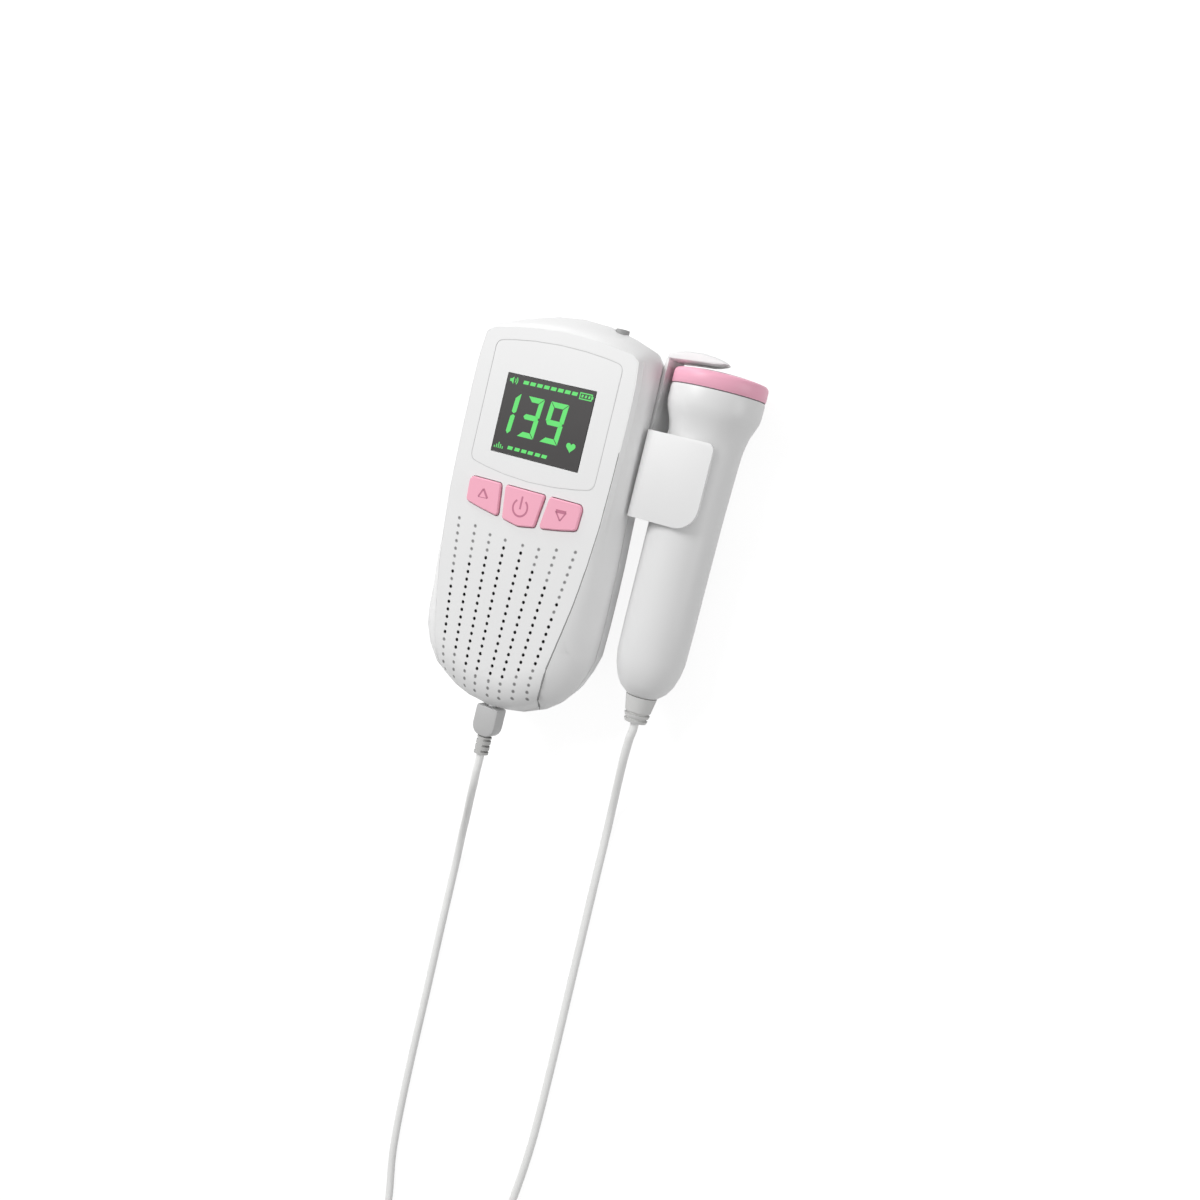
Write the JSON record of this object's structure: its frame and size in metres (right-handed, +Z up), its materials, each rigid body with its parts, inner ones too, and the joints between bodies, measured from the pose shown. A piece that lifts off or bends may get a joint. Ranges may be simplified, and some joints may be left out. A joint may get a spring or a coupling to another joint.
{
  "type": "fetal doppler",
  "caption": "Hand-held fetal heartbeat monitor lying on its back, with an ultrasound probe held in a clip on its right side and the probe's cord plugged into its bottom end",
  "frame": {"origin": "under the middle of the monitor and its probe together, on the surface that they lie on", "axes": "+X runs from the monitor towards the probe, +Y towards the top end with the headphone jack, +Z up, out of the display face"},
  "size_m": [0.1055, 0.4043, 0.0393],
  "materials": {
    "white_plastic": "moulded, fine satin",
    "pale_plastic": "moulded, satin",
    "pink_plastic": "moulded, satin",
    "clear_pane": "clear pane over a dark display",
    "black_plastic": "moulded",
    "circuit_board": "solder mask",
    "battery_sleeve": "shrink sleeve",
    "bright_steel": "plated",
    "brass": "bright",
    "cord_cover": "soft vinyl"
  },
  "bodies": {
    "monitor": {"front_shell": "white_plastic", "front_panel": "white_plastic", "screen_bezel": "white_plastic", "screen_window": "clear_pane", "display_module": "black_plastic", "up_switch": "black_plastic", "power_switch": "black_plastic", "down_switch": "black_plastic", "main_board": "circuit_board", "headphone_jack": "black_plastic", "speaker": "black_plastic", "rear_shell": "white_plastic", "battery_tray": "black_plastic", "battery_left": "battery_sleeve", "battery_right": "battery_sleeve", "contact_top": "bright_steel", "contact_bottom": "bright_steel", "case_screw_1": "bright_steel", "case_screw_2": "bright_steel", "case_screw_3": "bright_steel", "case_screw_4": "bright_steel", "clip_screw_1": "bright_steel", "clip_screw_2": "bright_steel", "probe_clip": "pale_plastic", "probe_socket": "black_plastic", "plug_body": "pale_plastic", "plug_pin": "bright_steel", "plug_relief": "cord_cover", "cord_plug_run": "cord_cover", "cord_coil": "cord_cover", "cord_tie": "black_plastic", "cord_probe_run": "cord_cover"},
    "up_key": {"up_button": "pink_plastic"},
    "power_key": {"power_button": "pink_plastic"},
    "down_key": {"down_button": "pink_plastic"},
    "door": {"battery_door": "white_plastic"},
    "probe": {"probe_shell": "pale_plastic", "probe_cap": "pink_plastic", "crystal_left": "brass", "crystal_right": "brass", "backing_disc": "black_plastic", "probe_board": "circuit_board", "probe_relief": "cord_cover"}
  },
  "joints": [
    {"name": "up_press", "type": "slide", "parent": "monitor", "child": "up_key", "axis": [0, 0, -1], "range_m": [0, 0.0006], "stiffness_N_per_m": 500},
    {"name": "power_press", "type": "slide", "parent": "monitor", "child": "power_key", "axis": [0, 0, -1], "range_m": [0, 0.0006], "stiffness_N_per_m": 500},
    {"name": "down_press", "type": "slide", "parent": "monitor", "child": "down_key", "axis": [0, 0, -1], "range_m": [0, 0.0006], "stiffness_N_per_m": 500},
    {"name": "door_slide", "type": "slide", "parent": "monitor", "child": "door", "axis": [0, -1, 0], "range_m": [0, 0.03]},
    {"name": "probe_slide", "type": "slide", "parent": "monitor", "child": "probe", "axis": [1, 0, 0], "range_m": [0, 0.045]}
  ]
}
